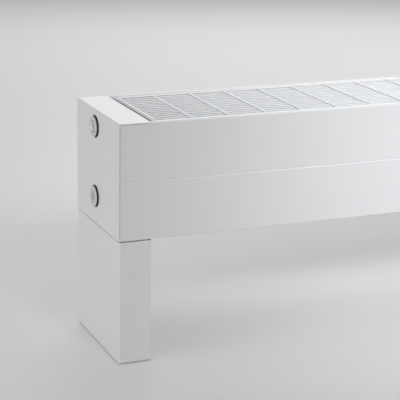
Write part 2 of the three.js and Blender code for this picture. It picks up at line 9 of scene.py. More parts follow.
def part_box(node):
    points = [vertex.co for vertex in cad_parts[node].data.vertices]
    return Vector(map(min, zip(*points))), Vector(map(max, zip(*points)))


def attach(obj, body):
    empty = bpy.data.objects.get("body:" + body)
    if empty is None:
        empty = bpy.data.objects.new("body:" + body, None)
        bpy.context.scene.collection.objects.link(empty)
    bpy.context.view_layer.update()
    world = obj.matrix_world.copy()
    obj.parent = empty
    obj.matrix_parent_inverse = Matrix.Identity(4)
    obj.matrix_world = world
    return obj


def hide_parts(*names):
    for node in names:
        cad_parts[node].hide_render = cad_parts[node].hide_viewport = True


bl_info = {
    "name": "Low convector heater",
    "version": (1, 0, 0),
    "blender": (4, 5, 0),
    "location": "View3D > Sidebar > Heater",
    "description": "Finishes a low floor-standing convector heater round its fixed frame",
    "category": "Object",
}

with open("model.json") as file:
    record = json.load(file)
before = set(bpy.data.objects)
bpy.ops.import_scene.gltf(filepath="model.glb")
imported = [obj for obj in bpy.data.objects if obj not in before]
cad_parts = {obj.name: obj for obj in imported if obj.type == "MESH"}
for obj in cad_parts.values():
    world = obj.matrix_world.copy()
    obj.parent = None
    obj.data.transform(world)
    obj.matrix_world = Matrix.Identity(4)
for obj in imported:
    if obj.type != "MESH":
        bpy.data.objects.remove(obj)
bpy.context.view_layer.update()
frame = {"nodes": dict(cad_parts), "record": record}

MM = 0.001
LEFT_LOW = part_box("end_cap_left")[0]
RIGHT_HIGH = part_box("end_cap_right")[1]
FRONT_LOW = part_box("front_panel")[0]
BACK_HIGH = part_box("back_panel")[1]
CASING_LOW = Vector((LEFT_LOW.x, FRONT_LOW.y, FRONT_LOW.z))
CASING_HIGH = Vector((RIGHT_HIGH.x, BACK_HIGH.y, BACK_HIGH.z))
CASING_MIDDLE = (CASING_LOW + CASING_HIGH) / 2

NEAR = 0.02 * MM  # two places closer than this are the same place
OVERRUN = MM  # how far a cutter stands out of the piece it cuts
ROUND = 64  # sides of a turned piece
FOLD_STEPS = 6  # flats round a folded corner

# What every length and every colour in the property groups has in common.
LENGTH = {"precision": 5, "subtype": "DISTANCE", "unit": "LENGTH"}
COLOUR = {"size": 3, "min": 0, "max": 1, "subtype": "COLOR"}


# ---- Selecting and shaping --------------------------------------------------


def deselect_all():
    """Leave edit mode and select nothing, so that an operator acts on the next piece alone."""
    if bpy.context.mode != "OBJECT":
        bpy.ops.object.mode_set(mode="OBJECT")
    bpy.ops.object.select_all(action="DESELECT")


def make_active(piece):
    deselect_all()
    piece.select_set(True)
    bpy.context.view_layer.objects.active = piece


def name_new(name):
    """Name the primitive just added, and move its place into its mesh."""
    piece = bpy.context.object
    piece.name = name
    piece.data.name = name
    bpy.ops.object.transform_apply(location=True, rotation=True, scale=True)
    return piece


def add_block(name, low, high):
    deselect_all()
    size = Vector(high) - Vector(low)
    bpy.ops.mesh.primitive_cube_add(size=1, location=(Vector(low) + Vector(high)) / 2, scale=size)
    return name_new(name)


def add_flat(name, middle, width, height, rotation=(0, 0, 0)):
    """A flat rectangle, turned about its middle."""
    deselect_all()
    bpy.ops.mesh.primitive_plane_add(size=1, location=middle, rotation=rotation)
    bpy.context.object.scale = (width, height, 1)
    return name_new(name)


def add_rod(name, radius, x_low, x_high, centre, sides=ROUND):
    """A cylinder along X, round the line through a centre."""
    deselect_all()
    bpy.ops.mesh.primitive_cylinder_add(
        vertices=sides,
        radius=radius,
        depth=x_high - x_low,
        location=((x_low + x_high) / 2, centre.y, centre.z),
        rotation=(0, math.pi / 2, 0),
    )
    return name_new(name)


def round_node(node):
    """The low and high corners, the centre and the radius of a round node that lies along X."""
    low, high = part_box(node)
    return low, high, (low + high) / 2, (high.z - low.z) / 2


def pick(piece, kind, test):
    """In edit mode, select the vertices, edges or faces of a piece that pass a test."""
    if bpy.context.mode != "EDIT_MESH":
        make_active(piece)
        bpy.ops.object.mode_set(mode="EDIT")
    bpy.ops.mesh.select_mode(type=kind)
    bpy.ops.mesh.select_all(action="DESELECT")
    mesh = bmesh.from_edit_mesh(piece.data)
    for element in {"VERT": mesh.verts, "EDGE": mesh.edges, "FACE": mesh.faces}[kind]:
        if test(element):
            element.select_set(True)
    mesh.select_flush_mode()
    bmesh.update_edit_mesh(piece.data)


def edge_at(**place):
    """A test for edges whose two ends both lie at the given coordinates."""
    axes = {"x": 0, "y": 1, "z": 2}

    def test(edge):
        return all(
            abs(vertex.co[axes[axis]] - value) < NEAR
            for vertex in edge.verts
            for axis, value in place.items()
        )

    return test


def face_at(x):
    """A test for faces square to X whose middle lies at a place along it."""
    return lambda face: abs(face.normal.x) > 0.9 and abs(face.calc_center_median().x - x) < NEAR


def stands_upright(edge):
    return abs(edge.verts[0].co.z - edge.verts[1].co.z) > MM


def bevel_edges(piece, test, width, steps):
    """Round the edges that pass a test, and stay in edit mode."""
    pick(piece, "EDGE", test)
    bpy.ops.mesh.bevel(offset=width, segments=steps, affect="EDGES")


def extrude(offset):
    bpy.ops.mesh.extrude_region_move(TRANSFORM_OT_translate={"value": offset})


def apply_modifier(piece, kind, **settings):
    """Add a modifier, set it and apply it."""
    make_active(piece)
    modifier = piece.modifiers.new(kind.title(), kind)
    for key, value in settings.items():
        setattr(modifier, key, value)
    bpy.ops.object.modifier_apply(modifier=modifier.name)


def repeat(piece, count, step, **settings):
    """Repeat a piece in a row, a step apart."""
    apply_modifier(
        piece,
        "ARRAY",
        count=count,
        use_relative_offset=False,
        use_constant_offset=True,
        constant_offset_displace=step,
        **settings,
    )


def cut_away(piece, *cutters):
    """Cut the cutters out of a piece and delete them."""
    for cutter in cutters:
        apply_modifier(piece, "BOOLEAN", operation="DIFFERENCE", solver="EXACT", object=cutter)
        bpy.data.meshes.remove(cutter.data)


def cut_slot(screw, x_low, x_high, centre, radius):
    """Cut a straight slot for a screwdriver across a screw's head, between two places along X."""
    half_slot = 0.5 * MM
    half = Vector((0, 2 * radius, half_slot))
    low = Vector((x_low, centre.y, centre.z)) - half
    high = Vector((x_high, centre.y, centre.z)) + half
    cut_away(screw, add_block("slot_cutter", low, high))


def soften(piece, width, segments=2, angle=35):
    """Round the sharp edges a little, and shade the roundings smooth and the flats flat."""
    if width:
        apply_modifier(
            piece,
            "BEVEL",
            width=width,
            segments=segments,
            limit_method="ANGLE",
            angle_limit=math.radians(angle),
            use_clamp_overlap=True,
        )
    make_active(piece)
    bpy.ops.object.shade_smooth_by_angle(angle=math.radians(angle))
    apply_modifier(piece, "WEIGHTED_NORMAL", mode="FACE_AREA", weight=100, keep_sharp=True)


def thicken(piece, thickness):
    """Give a surface its sheet thickness, on the side away from its normals."""
    apply_modifier(piece, "SOLIDIFY", thickness=thickness, offset=-1, use_even_offset=True)


def mirror_piece(piece, axis, middle):
    """Reflect a piece across a plane square to an axis, and turn its faces back outwards."""
    make_active(piece)
    bpy.ops.object.mode_set(mode="EDIT")
    bpy.ops.mesh.select_all(action="SELECT")
    factor = [-1 if i == axis else 1 for i in range(3)]
    bpy.ops.transform.resize(value=factor, center_override=middle)
    bpy.ops.mesh.flip_normals()
    bpy.ops.object.mode_set(mode="OBJECT")


def copy_piece(piece, name):
    """A copy with a mesh of its own."""
    double = piece.copy()
    double.data = piece.data.copy()
    double.name = name
    double.data.name = name
    bpy.context.scene.collection.objects.link(double)
    return double


def finish_piece(piece, material, slot, body, *nodes):
    """Give a piece its material, its body and the nodes it stands for. The record slot argument is not
    used.
    """
    piece.data.materials.clear()
    piece.data.materials.append(material)
    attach(piece, body)
    if nodes:
        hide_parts(*nodes)


# ---- Materials --------------------------------------------------------------


def powder_coat(name, colour, roughness, peel):
    """Sprayed and baked paint: faint clouding, uneven gloss, a soft orange peel and a fine grain."""
    material = bpy.data.materials.new(name)
    material.use_nodes = True
    nodes = material.node_tree.nodes
    links = material.node_tree.links
    nodes.clear()

    output = nodes.new("ShaderNodeOutputMaterial")
    output.label = "Surface out"
    output.location = (900, 0)
    surface = nodes.new("ShaderNodeBsdfPrincipled")
    surface.label = "Sprayed paint"
    surface.location = (600, 0)
    surface.inputs["Coat Weight"].default_value = 0.25
    surface.inputs["Coat Roughness"].default_value = 0.12
    surface.inputs["IOR"].default_value = 1.5
    links.new(surface.outputs["BSDF"], output.inputs["Surface"])

    place = nodes.new("ShaderNodeTexCoord")
    place.label = "Place on the heater"
    place.location = (-1100, 0)

    clouding = nodes.new("NodeFrame")
    clouding.label = "Faint clouding of the colour"
    clouds = nodes.new("ShaderNodeTexNoise")
    clouds.label = "Spray clouds"
    clouds.parent = clouding
    clouds.location = (-800, 400)
    clouds.inputs["Scale"].default_value = 7.0
    clouds.inputs["Detail"].default_value = 4.0
    tint = nodes.new("ShaderNodeMix")
    tint.label = "Thin and full coat"
    tint.parent = clouding
    tint.location = (-500, 400)
    tint.data_type = "RGBA"
    tint.inputs["A"].default_value = (*[c * 0.97 for c in colour], 1)
    tint.inputs["B"].default_value = (*[min(1, c * 1.02) for c in colour], 1)
    links.new(place.outputs["Object"], clouds.inputs["Vector"])
    links.new(clouds.outputs["Fac"], tint.inputs["Factor"])
    links.new(tint.outputs["Result"], surface.inputs["Base Color"])

    gloss = nodes.new("NodeFrame")
    gloss.label = "Uneven gloss"
    patches = nodes.new("ShaderNodeTexNoise")
    patches.label = "Gloss patches"
    patches.parent = gloss
    patches.location = (-800, 100)
    patches.inputs["Scale"].default_value = 45.0
    patches.inputs["Detail"].default_value = 3.0
    spread = nodes.new("ShaderNodeMapRange")
    spread.label = "Roughness range"
    spread.parent = gloss
    spread.location = (-500, 100)
    spread.inputs["To Min"].default_value = roughness - 0.04
    spread.inputs["To Max"].default_value = roughness + 0.04
    links.new(place.outputs["Object"], patches.inputs["Vector"])
    links.new(patches.outputs["Fac"], spread.inputs["Value"])
    links.new(spread.outputs["Result"], surface.inputs["Roughness"])

    relief = nodes.new("NodeFrame")
    relief.label = "Orange peel and grain"
    ripples = nodes.new("ShaderNodeTexNoise")
    ripples.label = "Orange peel, about 2 mm"
    ripples.parent = relief
    ripples.location = (-800, -200)
    ripples.inputs["Scale"].default_value = 480.0
    ripples.inputs["Detail"].default_value = 1.0
    grain = nodes.new("ShaderNodeTexNoise")
    grain.label = "Powder grain"
    grain.parent = relief
    grain.location = (-800, -500)
    grain.inputs["Scale"].default_value = 2600.0
    peel_bump = nodes.new("ShaderNodeBump")
    peel_bump.label = "Orange peel height"
    peel_bump.parent = relief
    peel_bump.location = (-200, -200)
    peel_bump.inputs["Strength"].default_value = 0.6
    peel_bump.inputs["Distance"].default_value = peel
    grain_bump = nodes.new("ShaderNodeBump")
    grain_bump.label = "Grain height"
    grain_bump.parent = relief
    grain_bump.location = (-500, -400)
    grain_bump.inputs["Strength"].default_value = 0.4
    grain_bump.inputs["Distance"].default_value = peel * 0.15
    links.new(place.outputs["Object"], ripples.inputs["Vector"])
    links.new(place.outputs["Object"], grain.inputs["Vector"])
    links.new(grain.outputs["Fac"], grain_bump.inputs["Height"])
    links.new(ripples.outputs["Fac"], peel_bump.inputs["Height"])
    links.new(grain_bump.outputs["Normal"], peel_bump.inputs["Normal"])
    links.new(peel_bump.outputs["Normal"], surface.inputs["Normal"])
    return material


def plated_sheet(name, colour, roughness):
    """Galvanised sheet steel: a spangle of crystals, dull patches and rolling marks along X."""
    material = bpy.data.materials.new(name)
    material.use_nodes = True
    nodes = material.node_tree.nodes
    links = material.node_tree.links
    nodes.clear()

    output = nodes.new("ShaderNodeOutputMaterial")
    output.label = "Surface out"
    output.location = (900, 0)
    surface = nodes.new("ShaderNodeBsdfPrincipled")
    surface.label = "Galvanised steel"
    surface.location = (600, 0)
    surface.inputs["Metallic"].default_value = 0.9
    links.new(surface.outputs["BSDF"], output.inputs["Surface"])

    place = nodes.new("ShaderNodeTexCoord")
    place.label = "Place on the heater"
    place.location = (-1200, 0)

    spangle = nodes.new("NodeFrame")
    spangle.label = "Zinc spangle"
    crystals = nodes.new("ShaderNodeTexVoronoi")
    crystals.label = "Crystals, about 4 mm"
    crystals.parent = spangle
    crystals.location = (-900, 400)
    crystals.inputs["Scale"].default_value = 240.0
    shades = nodes.new("ShaderNodeMapRange")
    shades.label = "Shade of each crystal"
    shades.parent = spangle
    shades.location = (-600, 400)
    tint = nodes.new("ShaderNodeMix")
    tint.label = "Dark and light zinc"
    tint.parent = spangle
    tint.location = (-300, 400)
    tint.data_type = "RGBA"
    tint.inputs["A"].default_value = (*[c * 0.86 for c in colour], 1)
    tint.inputs["B"].default_value = (*[min(1, c * 1.08) for c in colour], 1)
    links.new(place.outputs["Object"], crystals.inputs["Vector"])
    links.new(crystals.outputs["Color"], shades.inputs["Value"])
    links.new(shades.outputs["Result"], tint.inputs["Factor"])
    links.new(tint.outputs["Result"], surface.inputs["Base Color"])

    wear = nodes.new("NodeFrame")
    wear.label = "Dull patches"
    patches = nodes.new("ShaderNodeTexNoise")
    patches.label = "Handling marks"
    patches.parent = wear
    patches.location = (-900, 50)
    patches.inputs["Scale"].default_value = 60.0
    patches.inputs["Detail"].default_value = 5.0
    spread = nodes.new("ShaderNodeMapRange")
    spread.label = "Roughness range"
    spread.parent = wear
    spread.location = (-600, 50)
    spread.inputs["To Min"].default_value = roughness - 0.1
    spread.inputs["To Max"].default_value = roughness + 0.12
    links.new(place.outputs["Object"], patches.inputs["Vector"])
    links.new(patches.outputs["Fac"], spread.inputs["Value"])
    links.new(spread.outputs["Result"], surface.inputs["Roughness"])

    rolling = nodes.new("NodeFrame")
    rolling.label = "Rolling marks"
    stretch = nodes.new("ShaderNodeMapping")
    stretch.label = "Stretched along X"
    stretch.parent = rolling
    stretch.location = (-900, -300)
    stretch.inputs["Scale"].default_value = (60, 1800, 1800)
    lines = nodes.new("ShaderNodeTexNoise")
    lines.label = "Fine lines"
    lines.parent = rolling
    lines.location = (-600, -300)
    lines.inputs["Scale"].default_value = 1.0
    height = nodes.new("ShaderNodeBump")
    height.label = "Depth of the lines"
    height.parent = rolling
    height.location = (-300, -300)
    height.inputs["Strength"].default_value = 0.3
    height.inputs["Distance"].default_value = 0.00002
    links.new(place.outputs["Object"], stretch.inputs["Vector"])
    links.new(stretch.outputs["Vector"], lines.inputs["Vector"])
    links.new(lines.outputs["Fac"], height.inputs["Height"])
    links.new(height.outputs["Normal"], surface.inputs["Normal"])
    return material


def turned_metal(name, colour, roughness, centre, metallic=1.0):
    """Metal turned on a lathe: fine rings round the piece's axis, with a few dull smudges."""
    material = bpy.data.materials.new(name)
    material.use_nodes = True
    nodes = material.node_tree.nodes
    links = material.node_tree.links
    nodes.clear()

    output = nodes.new("ShaderNodeOutputMaterial")
    output.label = "Surface out"
    output.location = (900, 0)
    surface = nodes.new("ShaderNodeBsdfPrincipled")
    surface.label = "Turned metal"
    surface.location = (600, 0)
    surface.inputs["Metallic"].default_value = metallic
    links.new(surface.outputs["BSDF"], output.inputs["Surface"])

    place = nodes.new("ShaderNodeTexCoord")
    place.label = "Place on the heater"
    place.location = (-1200, 0)
    centred = nodes.new("ShaderNodeMapping")
    centred.label = "Centred on the turned axis"
    centred.location = (-1000, 0)
    centred.inputs["Location"].default_value = [-c for c in centre]
    links.new(place.outputs["Object"], centred.inputs["Vector"])

    smudges = nodes.new("NodeFrame")
    smudges.label = "Smudges"
    patches = nodes.new("ShaderNodeTexNoise")
    patches.label = "Finger marks"
    patches.parent = smudges
    patches.location = (-700, 300)
    patches.inputs["Scale"].default_value = 140.0
    patches.inputs["Detail"].default_value = 4.0
    spread = nodes.new("ShaderNodeMapRange")
    spread.label = "Roughness range"
    spread.parent = smudges
    spread.location = (-400, 150)
    spread.inputs["To Min"].default_value = roughness - 0.06
    spread.inputs["To Max"].default_value = roughness + 0.1
    tint = nodes.new("ShaderNodeMix")
    tint.label = "Clean and tarnished"
    tint.parent = smudges
    tint.location = (-400, 450)
    tint.data_type = "RGBA"
    tint.inputs["A"].default_value = (*colour, 1)
    tint.inputs["B"].default_value = (*[c * 0.9 for c in colour], 1)
    links.new(centred.outputs["Vector"], patches.inputs["Vector"])
    links.new(patches.outputs["Fac"], spread.inputs["Value"])
    links.new(patches.outputs["Fac"], tint.inputs["Factor"])
    links.new(spread.outputs["Result"], surface.inputs["Roughness"])
    links.new(tint.outputs["Result"], surface.inputs["Base Color"])

    turning = nodes.new("NodeFrame")
    turning.label = "Turning marks"
    rings = nodes.new("ShaderNodeTexWave")
    rings.label = "Rings, 0.3 mm apart"
    rings.parent = turning
    rings.location = (-700, -200)
    rings.wave_type = "RINGS"
    rings.rings_direction = "X"
    rings.inputs["Scale"].default_value = 1000.0
    rings.inputs["Distortion"].default_value = 0.6
    height = nodes.new("ShaderNodeBump")
    height.label = "Depth of the rings"
    height.parent = turning
    height.location = (-400, -200)
    height.inputs["Strength"].default_value = 0.25
    height.inputs["Distance"].default_value = 0.00002
    links.new(centred.outputs["Vector"], rings.inputs["Vector"])
    links.new(rings.outputs["Fac"], height.inputs["Height"])
    links.new(height.outputs["Normal"], surface.inputs["Normal"])
    return material


def moulded(name, colour, roughness, grain_scale, grain_height):
    """Moulded plastic or rubber: slight shade changes and a fine matt grain."""
    material = bpy.data.materials.new(name)
    material.use_nodes = True
    nodes = material.node_tree.nodes
    links = material.node_tree.links
    nodes.clear()

    output = nodes.new("ShaderNodeOutputMaterial")
    output.label = "Surface out"
    output.location = (900, 0)
    surface = nodes.new("ShaderNodeBsdfPrincipled")
    surface.label = "Moulded surface"
    surface.location = (600, 0)
    links.new(surface.outputs["BSDF"], output.inputs["Surface"])

    place = nodes.new("ShaderNodeTexCoord")
    place.label = "Place on the heater"
    place.location = (-1100, 0)

    shade = nodes.new("NodeFrame")
    shade.label = "Shade and bloom"
    bloom = nodes.new("ShaderNodeTexNoise")
    bloom.label = "Bloom"
    bloom.parent = shade
    bloom.location = (-800, 300)
    bloom.inputs["Scale"].default_value = 120.0
    bloom.inputs["Detail"].default_value = 3.0
    tint = nodes.new("ShaderNodeMix")
    tint.label = "Clean and bloomed"
    tint.parent = shade
    tint.location = (-500, 400)
    tint.data_type = "RGBA"
    tint.inputs["A"].default_value = (*colour, 1)
    tint.inputs["B"].default_value = (*[c * 0.9 + 0.01 for c in colour], 1)
    spread = nodes.new("ShaderNodeMapRange")
    spread.label = "Roughness range"
    spread.parent = shade
    spread.location = (-500, 100)
    spread.inputs["To Min"].default_value = roughness - 0.05
    spread.inputs["To Max"].default_value = roughness + 0.08
    links.new(place.outputs["Object"], bloom.inputs["Vector"])
    links.new(bloom.outputs["Fac"], tint.inputs["Factor"])
    links.new(bloom.outputs["Fac"], spread.inputs["Value"])
    links.new(tint.outputs["Result"], surface.inputs["Base Color"])
    links.new(spread.outputs["Result"], surface.inputs["Roughness"])

    texture = nodes.new("NodeFrame")
    texture.label = "Mould grain"
    grain = nodes.new("ShaderNodeTexNoise")
    grain.label = "Grain"
    grain.parent = texture
    grain.location = (-800, -200)
    grain.inputs["Scale"].default_value = grain_scale
    height = nodes.new("ShaderNodeBump")
    height.label = "Grain height"
    height.parent = texture
    height.location = (-500, -200)
    height.inputs["Strength"].default_value = 0.5
    height.inputs["Distance"].default_value = grain_height
    links.new(place.outputs["Object"], grain.inputs["Vector"])
    links.new(grain.outputs["Fac"], height.inputs["Height"])
    links.new(height.outputs["Normal"], surface.inputs["Normal"])
    return material


def floor_paint(name, colour):
    """A plain pale floor with barely visible mottling."""
    material = bpy.data.materials.new(name)
    material.use_nodes = True
    nodes = material.node_tree.nodes
    links = material.node_tree.links
    nodes.clear()

    output = nodes.new("ShaderNodeOutputMaterial")
    output.label = "Surface out"
    output.location = (900, 0)
    surface = nodes.new("ShaderNodeBsdfPrincipled")
    surface.label = "Pale floor"
    surface.location = (600, 0)
    surface.inputs["Roughness"].default_value = 0.65
    surface.inputs["Specular IOR Level"].default_value = 0.25
    links.new(surface.outputs["BSDF"], output.inputs["Surface"])

    place = nodes.new("ShaderNodeTexCoord")
    place.label = "Place on the floor"
    place.location = (-700, 0)

    mottling = nodes.new("NodeFrame")
    mottling.label = "Mottling"
    clouds = nodes.new("ShaderNodeTexNoise")
    clouds.label = "Soft clouds"
    clouds.parent = mottling
    clouds.location = (-400, 0)
    clouds.inputs["Scale"].default_value = 1.5
    tint = nodes.new("ShaderNodeMix")
    tint.label = "Slightly darker and lighter"
    tint.parent = mottling
    tint.location = (0, 0)
    tint.data_type = "RGBA"
    tint.inputs["A"].default_value = (*[c * 0.985 for c in colour], 1)
    tint.inputs["B"].default_value = (*colour, 1)
    links.new(place.outputs["Object"], clouds.inputs["Vector"])
    links.new(clouds.outputs["Fac"], tint.inputs["Factor"])
    links.new(tint.outputs["Result"], surface.inputs["Base Color"])
    return material


def casing_paint():
    finishes = bpy.context.scene.heater_finishes
    found = bpy.data.materials.get("casing_paint")
    return found or powder_coat(
        "casing_paint",
        finishes.casing_colour,
        roughness=finishes.casing_roughness,
        peel=finishes.orange_peel,
    )


def inner_paint():
    finishes = bpy.context.scene.heater_finishes
    # The inner parts take the mid grey inner colour, which is painted shade for the inside of the
    # casing seen through the grille.
    found = bpy.data.materials.get("inner_paint")
    return found or powder_coat(
        "inner_paint",
        finishes.shaded_inner_colour,
        roughness=0.45,
        peel=finishes.orange_peel,
    )


def zinc_steel():
    finishes = bpy.context.scene.heater_finishes
    found = bpy.data.materials.get("zinc_steel")
    return found or plated_sheet("zinc_steel", finishes.zinc_colour, roughness=0.42)


def black_rubber():
    finishes = bpy.context.scene.heater_finishes
    found = bpy.data.materials.get("black_rubber")
    return found or moulded(
        "black_rubber",
        finishes.rubber_colour,
        roughness=0.75,
        grain_scale=1500.0,
        grain_height=0.00003,
    )


def white_plastic():
    finishes = bpy.context.scene.heater_finishes
    found = bpy.data.materials.get("white_plastic")
    return found or moulded(
        "white_plastic",
        finishes.plastic_colour,
        roughness=0.42,
        grain_scale=2200.0,
        grain_height=0.00001,
    )


# ---- Sizes and finishes -----------------------------------------------------


class HeaterSizes(bpy.types.PropertyGroup):
    """Shapes that the fixed frame leaves open."""

    sheet: bpy.props.FloatProperty(
        name="Casing sheet",
        description="Thickness of the casing's steel sheet",
        default=1.25 * MM,
        min=0.5 * MM,
        max=3 * MM,
        **LENGTH,
    )
    foot_sheet: bpy.props.FloatProperty(
        name="Foot sheet",
        description="Thickness of a foot cover's steel sheet",
        default=1.5 * MM,
        min=0.5 * MM,
        max=3 * MM,
        **LENGTH,
    )
    foot_radius: bpy.props.FloatProperty(
        name="Foot corner radius",
        description="Outside radius of a foot cover's upright corners",
        default=3 * MM,
        min=1.6 * MM,
        max=6 * MM,
        **LENGTH,
    )
    foot_return: bpy.props.FloatProperty(
        name="Foot return",
        description="Width of the return along the top of a foot cover",
        default=5 * MM,
        min=2 * MM,
        max=20 * MM,
        **LENGTH,
    )
    fold_radius: bpy.props.FloatProperty(
        name="Fold radius",
        description="Outside radius of a fold in the sheet",
        default=1.6 * MM,
        min=1.3 * MM,
        max=4 * MM,
        **LENGTH,
    )
    edge_softness: bpy.props.FloatProperty(
        name="Edge softness",
        description="Rounding of a cut edge under the paint",
        default=0.3 * MM,
        min=0,
        max=1 * MM,
        **LENGTH,
    )
    line_width: bpy.props.FloatProperty(
        name="Pressed line width",
        description="Width of the line pressed along a panel",
        default=2.4 * MM,
        min=1 * MM,
        max=6 * MM,
        **LENGTH,
    )
    line_depth: bpy.props.FloatProperty(
        name="Pressed line depth",
        description="Depth of the line pressed along a panel",
        default=0.9 * MM,
        min=0.2 * MM,
        max=1.2 * MM,
        **LENGTH,
    )
    line_end: bpy.props.FloatProperty(
        name="Pressed line end",
        description="Plain stretch between the pressed line and the casing's end",
        default=5.6 * MM,
        min=2 * MM,
        max=40 * MM,
        **LENGTH,
    )
    rim_radius: bpy.props.FloatProperty(
        name="Grille rim radius",
        description="Outside radius of the grille's downturned edge",
        default=1.5 * MM,
        min=1.3 * MM,
        max=2 * MM,
        **LENGTH,
    )
    bar_count: bpy.props.IntProperty(
        name="Grille bars",
        description="Lengthwise bars between the grille's front and rear borders",
        default=13,
        min=3,
        max=25,
    )
    bar_width: bpy.props.FloatProperty(
        name="Grille bar width",
        description="Width of a lengthwise bar",
        default=3.5 * MM,
        min=1 * MM,
        max=8 * MM,
        **LENGTH,
    )
    bar_height: bpy.props.FloatProperty(
        name="Grille bar height",
        description="Height of a lengthwise bar",
        default=3 * MM,
        min=1 * MM,
        max=6 * MM,
        **LENGTH,
    )
    bay_count: bpy.props.IntProperty(
        name="Grille bays",
        description="Bays between the grille's cross ribs",
        default=23,
        min=2,
        max=60,
    )
    rib_width: bpy.props.FloatProperty(
        name="Grille rib width",
        description="Width of a cross rib",
        default=3.2 * MM,
        min=1 * MM,
        max=8 * MM,
        **LENGTH,
    )
    strip_width: bpy.props.FloatProperty(
        name="Grille end strip",
        description="Width of the solid strip across each end of the grille",
        default=4.2 * MM,
        min=2 * MM,
        max=20 * MM,
        **LENGTH,
    )
    rib_rise: bpy.props.FloatProperty(
        name="Grille rib rise",
        description="How far the ribs stand above the bars and the grille's border",
        default=1.1 * MM,
        min=0,
        max=2 * MM,
        **LENGTH,
    )
    border_width: bpy.props.FloatProperty(
        name="Grille border",
        description="Width of the solid strip along the grille's front and rear",
        default=6.5 * MM,
        min=2 * MM,
        max=20 * MM,
        **LENGTH,
    )
    fin_waves: bpy.props.IntProperty(
        name="Fin waves",
        description="Waves in one pack of convector fins",
        default=40,
        min=4,
        max=120,
    )


class HeaterFinishes(bpy.types.PropertyGroup):
    """Colours and textures of the heater's materials."""

    casing_colour: bpy.props.FloatVectorProperty(
        name="Casing colour",
        description="Colour of the powder coat outside",
        default=(0.79, 0.803, 0.865),
        **COLOUR,
    )
    casing_roughness: bpy.props.FloatProperty(
        name="Casing roughness",
        description="Roughness of the powder coat outside",
        default=0.34,
        min=0.05,
        max=1,
        subtype="FACTOR",
    )
    orange_peel: bpy.props.FloatProperty(
        name="Orange peel",
        description="Height of the powder coat's orange peel",
        default=0.04 * MM,
        min=0,
        max=0.5 * MM,
        precision=6,
        subtype="DISTANCE",
        unit="LENGTH",
    )
    # Painted shade: the inner colour is a mid grey, darker than the heat exchanger's real white coat,
    # so that the inside seen through the grille's slots looks shaded.
    shaded_inner_colour: bpy.props.FloatVectorProperty(
        name="Inner colour",
        description="Colour of the dip coat on the heat exchanger",
        default=(0.50, 0.51, 0.525),
        **COLOUR,
    )
    zinc_colour: bpy.props.FloatVectorProperty(
        name="Zinc colour",
        description="Colour of the zinc-plated brackets, feet and bolts",
        default=(0.55, 0.57, 0.58),
        **COLOUR,
    )
    nickel_colour: bpy.props.FloatVectorProperty(
        name="Nickel colour",
        description="Colour of the plated plugs",
        default=(0.80, 0.805, 0.82),
        **COLOUR,
    )
    brass_colour: bpy.props.FloatVectorProperty(
        name="Brass colour",
        description="Colour of the nickel-plated brass of the bleed screw",
        default=(0.76, 0.745, 0.69),
        **COLOUR,
    )
    rubber_colour: bpy.props.FloatVectorProperty(
        name="Rubber colour",
        description="Colour of the seals, buffers and floor pads",
        default=(0.02, 0.022, 0.025),
        **COLOUR,
    )
    plastic_colour: bpy.props.FloatVectorProperty(
        name="Plastic colour",
        description="Colour of the vent nozzle and the cradle pads",
        default=(0.66, 0.67, 0.68),
        **COLOUR,
    )


class HeaterStage(bpy.types.PropertyGroup):
    """Floor, lights and camera."""

    floor_colour: bpy.props.FloatVectorProperty(
        name="Floor colour",
        description="Colour of the pale floor",
        default=(0.92, 0.915, 0.91),
        **COLOUR,
    )
    front_light: bpy.props.FloatProperty(
        name="Front light",
        description="Power of the soft light before the front panel, in watts",
        default=1.93,
        min=0,
        max=1000,
    )
    left_light: bpy.props.FloatProperty(
        name="Left light",
        description="Power of the soft light beyond the left end, in watts",
        default=5.3,
        min=0,
        max=1000,
    )
    right_light: bpy.props.FloatProperty(
        name="Right light",
        description="Power of the soft light beyond the right end, in watts",
        default=8,
        min=0,
        max=1000,
    )
    back_light: bpy.props.FloatProperty(
        name="Back light",
        description="Power of the large soft light behind the heater, in watts",
        default=14,
        min=0,
        max=1000,
    )
    sky: bpy.props.FloatProperty(
        name="Surrounding light",
        description="Strength of the even light from all round",
        default=0.44,
        min=0,
        max=5,
    )
    camera_place: bpy.props.FloatVectorProperty(
        name="Camera place",
        description="Camera's place from the casing's left front corner, on the floor",
        default=(-0.5308, -1.4916, 0.6645),
        size=3,
        subtype="TRANSLATION",
        unit="LENGTH",
    )
    camera_turn: bpy.props.FloatProperty(
        name="Camera turn",
        description="How far the camera looks to the right of straight ahead",
        default=math.radians(23.0),
        subtype="ANGLE",
        unit="ROTATION",
    )
    camera_dip: bpy.props.FloatProperty(
        name="Camera dip",
        description="How far the camera looks below the horizon",
        default=math.radians(16.11),
        subtype="ANGLE",
        unit="ROTATION",
    )
    camera_roll: bpy.props.FloatProperty(
        name="Camera roll",
        description="How far the camera leans to its left",
        default=math.radians(1.08),
        subtype="ANGLE",
        unit="ROTATION",
    )
    focal_length: bpy.props.FloatProperty(
        name="Focal length",
        description="Focal length of the lens, on a 36 mm sensor",
        default=127.5,
        min=10,
        max=400,
        subtype="DISTANCE_CAMERA",
        unit="CAMERA",
    )


# ---- Casing -----------------------------------------------------------------


